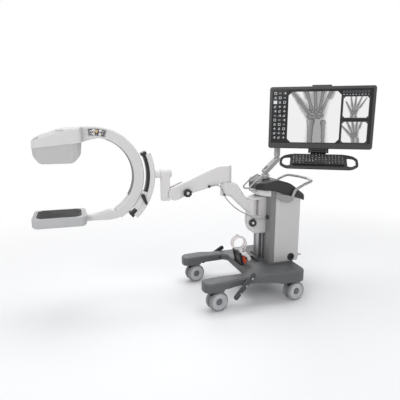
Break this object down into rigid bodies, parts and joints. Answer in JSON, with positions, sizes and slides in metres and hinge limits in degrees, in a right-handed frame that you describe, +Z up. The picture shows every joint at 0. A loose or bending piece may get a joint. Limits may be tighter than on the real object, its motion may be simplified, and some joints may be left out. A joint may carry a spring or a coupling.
{
  "type": "mobile mini c-arm x-ray",
  "caption": "Mobile mini C-arm X-ray: jointed arm on a wheeled cabinet, monitor with keyboard tray, brake pedals and a stored foot switch.",
  "frame": {"origin": "on the floor midway between the four casters' wheel hubs", "axes": "+X from the C towards the cabinet's rear, -Y the operator's side with the socket, +Z up"},
  "size_m": [2.0053, 0.7429, 1.3595],
  "materials": {
    "base_plastic": "satin",
    "pedal_metal": "satin",
    "column_paint": "satin",
    "cabinet_paint": "satin",
    "panel_silver": "metallic satin",
    "arm_paint": "satin",
    "black_plastic": "satin",
    "pale_rubber": "matte",
    "rail_metal": "anodised",
    "c_paint": "satin",
    "grey_shell": "satin",
    "dark_plate": "matte",
    "key_plastic": "satin",
    "handle_metal": "satin",
    "mount_plastic": "satin",
    "screen_glass": "gloss",
    "orange_plastic": "satin",
    "white_plastic": "satin",
    "cable_rubber": "matte",
    "fork_plastic": "satin",
    "wheel_tyre": "matte"
  },
  "bodies": {
    "cabinet": {"base_shell": "base_plastic", "column": "column_paint", "cabinet_core": "cabinet_paint", "side_panel_near": "panel_silver", "side_panel_far": "panel_silver", "collar": "arm_paint", "side_socket": "black_plastic", "rear_cord_gland": "pale_rubber", "lift_rail": "rail_metal", "top_cover": "black_plastic", "handles": "handle_metal", "handle_mounts": "mount_plastic", "monitor_arm_base": "arm_paint", "arm_cable_column": "cable_rubber"},
    "carriage": {"carriage": "arm_paint"},
    "shoulder_knob": {"shoulder_knob": "black_plastic"},
    "rear_link": {"rear_link": "arm_paint", "arm_cable_link": "cable_rubber"},
    "forearm": {"forearm": "arm_paint", "arm_cable_fore": "cable_rubber"},
    "forearm_knob": {"forearm_knob": "black_plastic"},
    "wrist_post": {"wrist_post": "arm_paint"},
    "carrier": {"carrier": "arm_paint", "carrier_track": "black_plastic"},
    "c_arm": {"c_frame": "c_paint", "c_shoe": "arm_paint", "source_housing": "c_paint", "source_cover": "grey_shell", "detector_housing": "grey_shell", "detector_plate": "dark_plate", "control_panel": "grey_shell"},
    "lock_lever": {"lock_lever": "black_plastic"},
    "brake_near": {"brake_pedal_near": "pedal_metal"},
    "brake_far": {"brake_pedal_far": "pedal_metal"},
    "monitor_yaw": {"monitor_yaw_knuckle": "arm_paint"},
    "monitor_link": {"monitor_lower_link": "arm_paint"},
    "monitor_post": {"monitor_post": "arm_paint"},
    "monitor_arm": {"monitor_upper_arm": "arm_paint"},
    "monitor_hub": {"monitor_hub": "black_plastic"},
    "monitor": {"monitor_back": "black_plastic", "monitor_bezel": "black_plastic", "monitor_screen": "screen_glass"},
    "tray": {"keyboard_tray": "black_plastic", "keyboard": "black_plastic"},
    "foot_switch": {"foot_switch_base": "black_plastic", "foot_switch_hood": "white_plastic", "foot_switch_cord": "pale_rubber"},
    "foot_pedal": {"foot_pedal": "orange_plastic"},
    "key_1": {"control_key_1": "key_plastic"},
    "key_2": {"control_key_2": "key_plastic"},
    "key_3": {"control_key_3": "key_plastic"},
    "key_4": {"control_key_4": "key_plastic"},
    "fork_front_near": {"caster_fork_front_near": "fork_plastic"},
    "wheels_front_near": {"caster_wheels_front_near": "wheel_tyre"},
    "fork_front_far": {"caster_fork_front_far": "fork_plastic"},
    "wheels_front_far": {"caster_wheels_front_far": "wheel_tyre"},
    "fork_rear_near": {"caster_fork_rear_near": "fork_plastic"},
    "wheels_rear_near": {"caster_wheels_rear_near": "wheel_tyre"},
    "fork_rear_far": {"caster_fork_rear_far": "fork_plastic"},
    "wheels_rear_far": {"caster_wheels_rear_far": "wheel_tyre"}
  },
  "joints": [
    {"name": "swivel_front_near", "type": "hinge", "parent": "cabinet", "child": "fork_front_near", "pos_m": [-0.295, -0.24, 0.137], "axis": [0, 0, 1], "continuous": true},
    {"name": "roll_front_near", "type": "hinge", "parent": "fork_front_near", "child": "wheels_front_near", "pos_m": [-0.26546, -0.23479, 0.0625], "axis": [-0.1736, 0.9848, 0], "continuous": true},
    {"name": "swivel_front_far", "type": "hinge", "parent": "cabinet", "child": "fork_front_far", "pos_m": [-0.295, 0.24, 0.137], "axis": [0, 0, 1], "continuous": true},
    {"name": "roll_front_far", "type": "hinge", "parent": "fork_front_far", "child": "wheels_front_far", "pos_m": [-0.26546, 0.24521, 0.0625], "axis": [-0.1736, 0.9848, 0], "continuous": true},
    {"name": "swivel_rear_near", "type": "hinge", "parent": "cabinet", "child": "fork_rear_near", "pos_m": [0.234, -0.24, 0.137], "axis": [0, 0, 1], "continuous": true},
    {"name": "roll_rear_near", "type": "hinge", "parent": "fork_rear_near", "child": "wheels_rear_near", "pos_m": [0.26354, -0.23479, 0.0625], "axis": [-0.1736, 0.9848, 0], "continuous": true},
    {"name": "swivel_rear_far", "type": "hinge", "parent": "cabinet", "child": "fork_rear_far", "pos_m": [0.234, 0.24, 0.137], "axis": [0, 0, 1], "continuous": true},
    {"name": "roll_rear_far", "type": "hinge", "parent": "fork_rear_far", "child": "wheels_rear_far", "pos_m": [0.26354, 0.24521, 0.0625], "axis": [-0.1736, 0.9848, 0], "continuous": true},
    {"name": "brake_near_tilt", "type": "hinge", "parent": "cabinet", "child": "brake_near", "pos_m": [-0.092, -0.25, 0.176], "axis": [0, 1, 0], "range_deg": [-10, 10]},
    {"name": "brake_far_tilt", "type": "hinge", "parent": "cabinet", "child": "brake_far", "pos_m": [-0.092, 0.25, 0.176], "axis": [0, 1, 0], "range_deg": [-10, 10]},
    {"name": "lift", "type": "slide", "parent": "cabinet", "child": "carriage", "axis": [0, 0, 1], "range_m": [-0.1, 0]},
    {"name": "shoulder_clamp_turn", "type": "hinge", "parent": "carriage", "child": "shoulder_knob", "pos_m": [0.04, -0.06, 0.486], "axis": [0, 1, 0], "continuous": true},
    {"name": "shoulder_yaw", "type": "hinge", "parent": "carriage", "child": "rear_link", "pos_m": [0.056, 0, 0.58], "axis": [0, 0, 1], "range_deg": [-45, 45]},
    {"name": "elbow_yaw", "type": "hinge", "parent": "rear_link", "child": "forearm", "pos_m": [-0.13, 0, 0.81], "axis": [0, 0, 1], "range_deg": [-80, 80]},
    {"name": "forearm_clamp_turn", "type": "hinge", "parent": "forearm", "child": "forearm_knob", "pos_m": [-0.397, -0.05, 0.706], "axis": [0, 1, 0], "continuous": true},
    {"name": "wrist_pitch", "type": "hinge", "parent": "forearm", "child": "wrist_post", "pos_m": [-0.471, 0, 0.702], "axis": [0, 1, 0], "range_deg": [-70, 35]},
    {"name": "c_roll", "type": "hinge", "parent": "wrist_post", "child": "carrier", "pos_m": [-0.55, 0, 0.826], "axis": [1, 0, 0], "range_deg": [-90, 90]},
    {"name": "c_orbit", "type": "hinge", "parent": "carrier", "child": "c_arm", "pos_m": [-0.948, 0, 0.826], "axis": [0, -1, 0], "range_deg": [0, 38]},
    {"name": "lock_lever_turn", "type": "hinge", "parent": "c_arm", "child": "lock_lever", "pos_m": [-0.67211, -0.035, 0.70317], "axis": [0, 1, 0], "range_deg": [-30, 30]},
    {"name": "key_1_press", "type": "slide", "parent": "c_arm", "child": "key_1", "axis": [0, 1, 0], "range_m": [0, 0.0012], "stiffness_N_per_m": 400, "springref_m": -0.0012},
    {"name": "key_2_press", "type": "slide", "parent": "c_arm", "child": "key_2", "axis": [0, 1, 0], "range_m": [0, 0.0012], "stiffness_N_per_m": 400, "springref_m": -0.0012},
    {"name": "key_3_press", "type": "slide", "parent": "c_arm", "child": "key_3", "axis": [0, 1, 0], "range_m": [0, 0.0012], "stiffness_N_per_m": 400, "springref_m": -0.0012},
    {"name": "key_4_press", "type": "slide", "parent": "c_arm", "child": "key_4", "axis": [0, 1, 0], "range_m": [0, 0.0012], "stiffness_N_per_m": 400, "springref_m": -0.0012},
    {"name": "monitor_arm_yaw", "type": "hinge", "parent": "cabinet", "child": "monitor_yaw", "pos_m": [0.151, 0, 0.8], "axis": [0, 0, 1], "range_deg": [-30, 40]},
    {"name": "monitor_link_pitch", "type": "hinge", "parent": "monitor_yaw", "child": "monitor_link", "pos_m": [0.151, 0, 0.815], "axis": [0.4626, -0.8866, 0], "range_deg": [-12, 20]},
    {"name": "monitor_post_level", "type": "hinge", "parent": "monitor_link", "child": "monitor_post", "pos_m": [0.266, 0.06, 0.885], "axis": [0.4626, -0.8866, 0], "range_deg": [-20, 12]},
    {"name": "monitor_arm_swing", "type": "hinge", "parent": "monitor_post", "child": "monitor_arm", "pos_m": [0.266, 0.06, 1.11], "axis": [0, 0, 1], "range_deg": [-40, 40]},
    {"name": "monitor_swivel", "type": "hinge", "parent": "monitor_arm", "child": "monitor_hub", "pos_m": [0.4678, -0.11612, 1.11], "axis": [0, 0, 1], "range_deg": [-5, 60]},
    {"name": "monitor_tilt", "type": "hinge", "parent": "monitor_hub", "child": "monitor", "pos_m": [0.45826, -0.13138, 1.176], "axis": [0.848, -0.5299, 0], "range_deg": [-20, 4]},
    {"name": "tray_fold", "type": "hinge", "parent": "monitor", "child": "tray", "pos_m": [0.43494, -0.1687, 0.9485], "axis": [-0.848, 0.5299, 0], "range_deg": [0, 25]},
    {"name": "foot_switch_lift", "type": "slide", "parent": "cabinet", "child": "foot_switch", "axis": [-0.5, 0, 0.866], "range_m": [0, 0.12]},
    {"name": "foot_pedal_press", "type": "hinge", "parent": "foot_switch", "child": "foot_pedal", "pos_m": [-0.01877, 0, 0.26702], "axis": [0, 1, 0], "range_deg": [0, 6], "stiffness_Nm_per_rad": 4, "springref_deg": -2.86}
  ],
  "couplings": [
    {"joint": "brake_far_tilt", "follows": "brake_near_tilt", "ratio": 1},
    {"joint": "monitor_post_level", "follows": "monitor_link_pitch", "ratio": -1}
  ]
}
